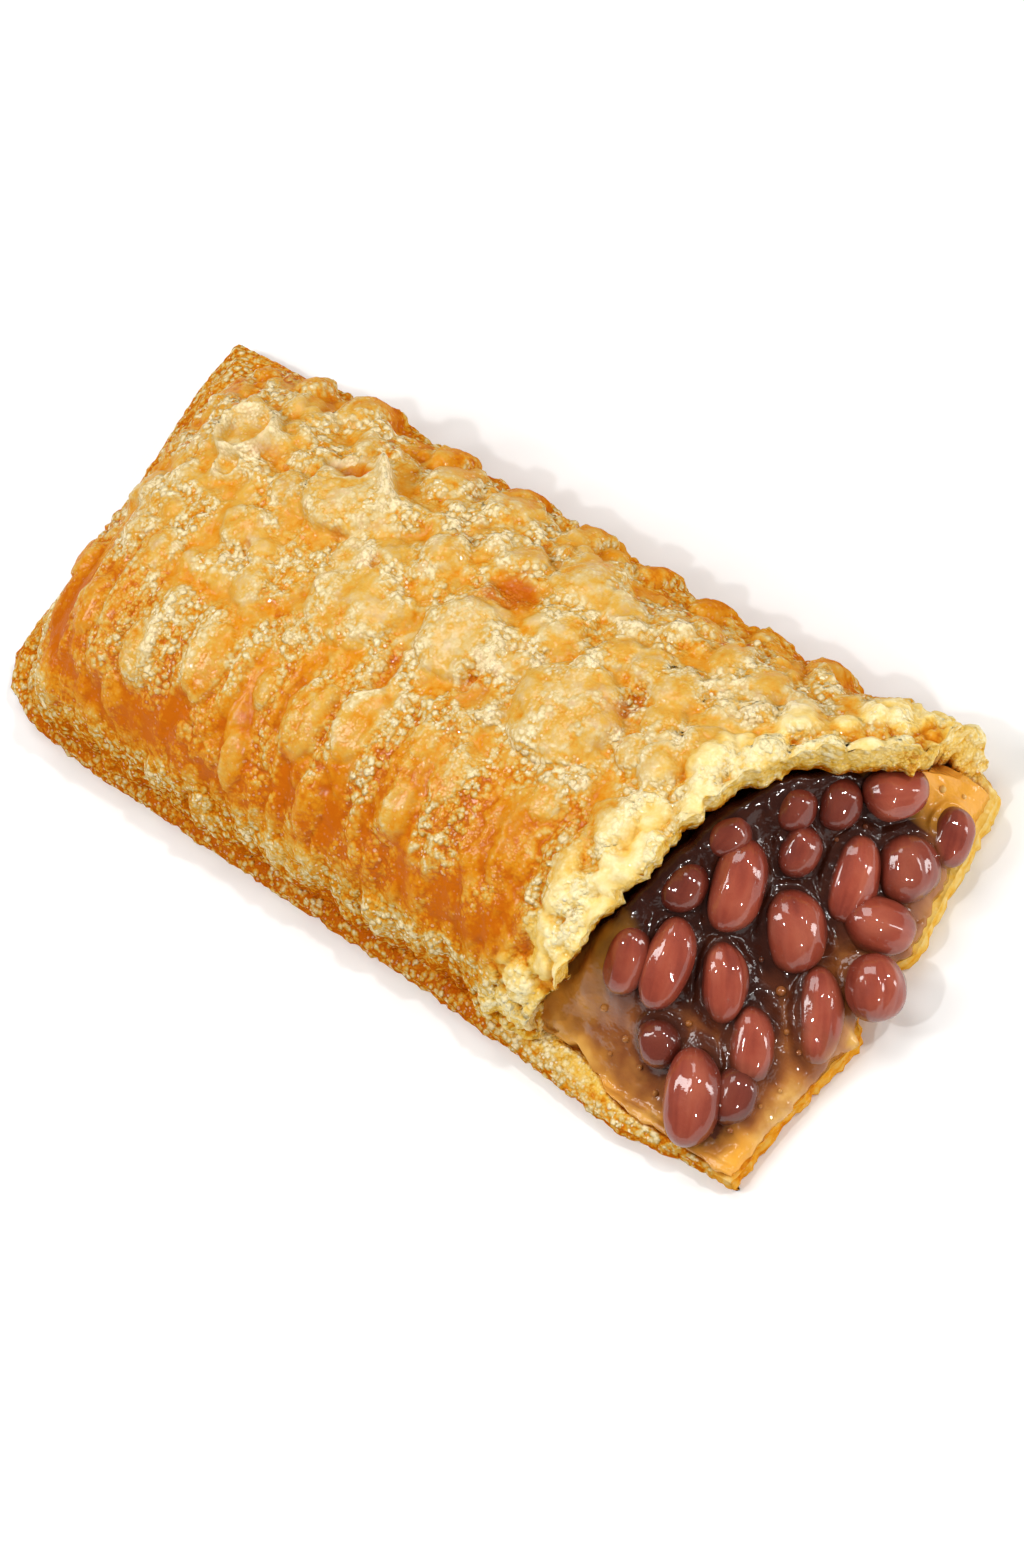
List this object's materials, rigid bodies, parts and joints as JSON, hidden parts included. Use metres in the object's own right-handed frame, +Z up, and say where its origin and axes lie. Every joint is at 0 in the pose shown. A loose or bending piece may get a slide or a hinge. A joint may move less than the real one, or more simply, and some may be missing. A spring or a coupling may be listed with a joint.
{
  "type": "red bean pie",
  "caption": "Long fried pie with a blistered golden crust, one end torn off to show a glossy filling of whole red beans in syrup.",
  "frame": {"origin": "under the middle of the whole pie, on the flat underside it rests on", "axes": "+X along the pie's length, from the closed crimped end to the torn mouth; +Y towards the side that the torn crust covers furthest; +Z up"},
  "size_m": [0.1192, 0.0556, 0.0242],
  "materials": {
    "fried_crust": "dry and crisp, slightly oily",
    "bean_filling": "wet and glossy"
  },
  "bodies": {
    "root": {"crust": "fried_crust", "bean_filling": "bean_filling"}
  },
  "joints": []
}
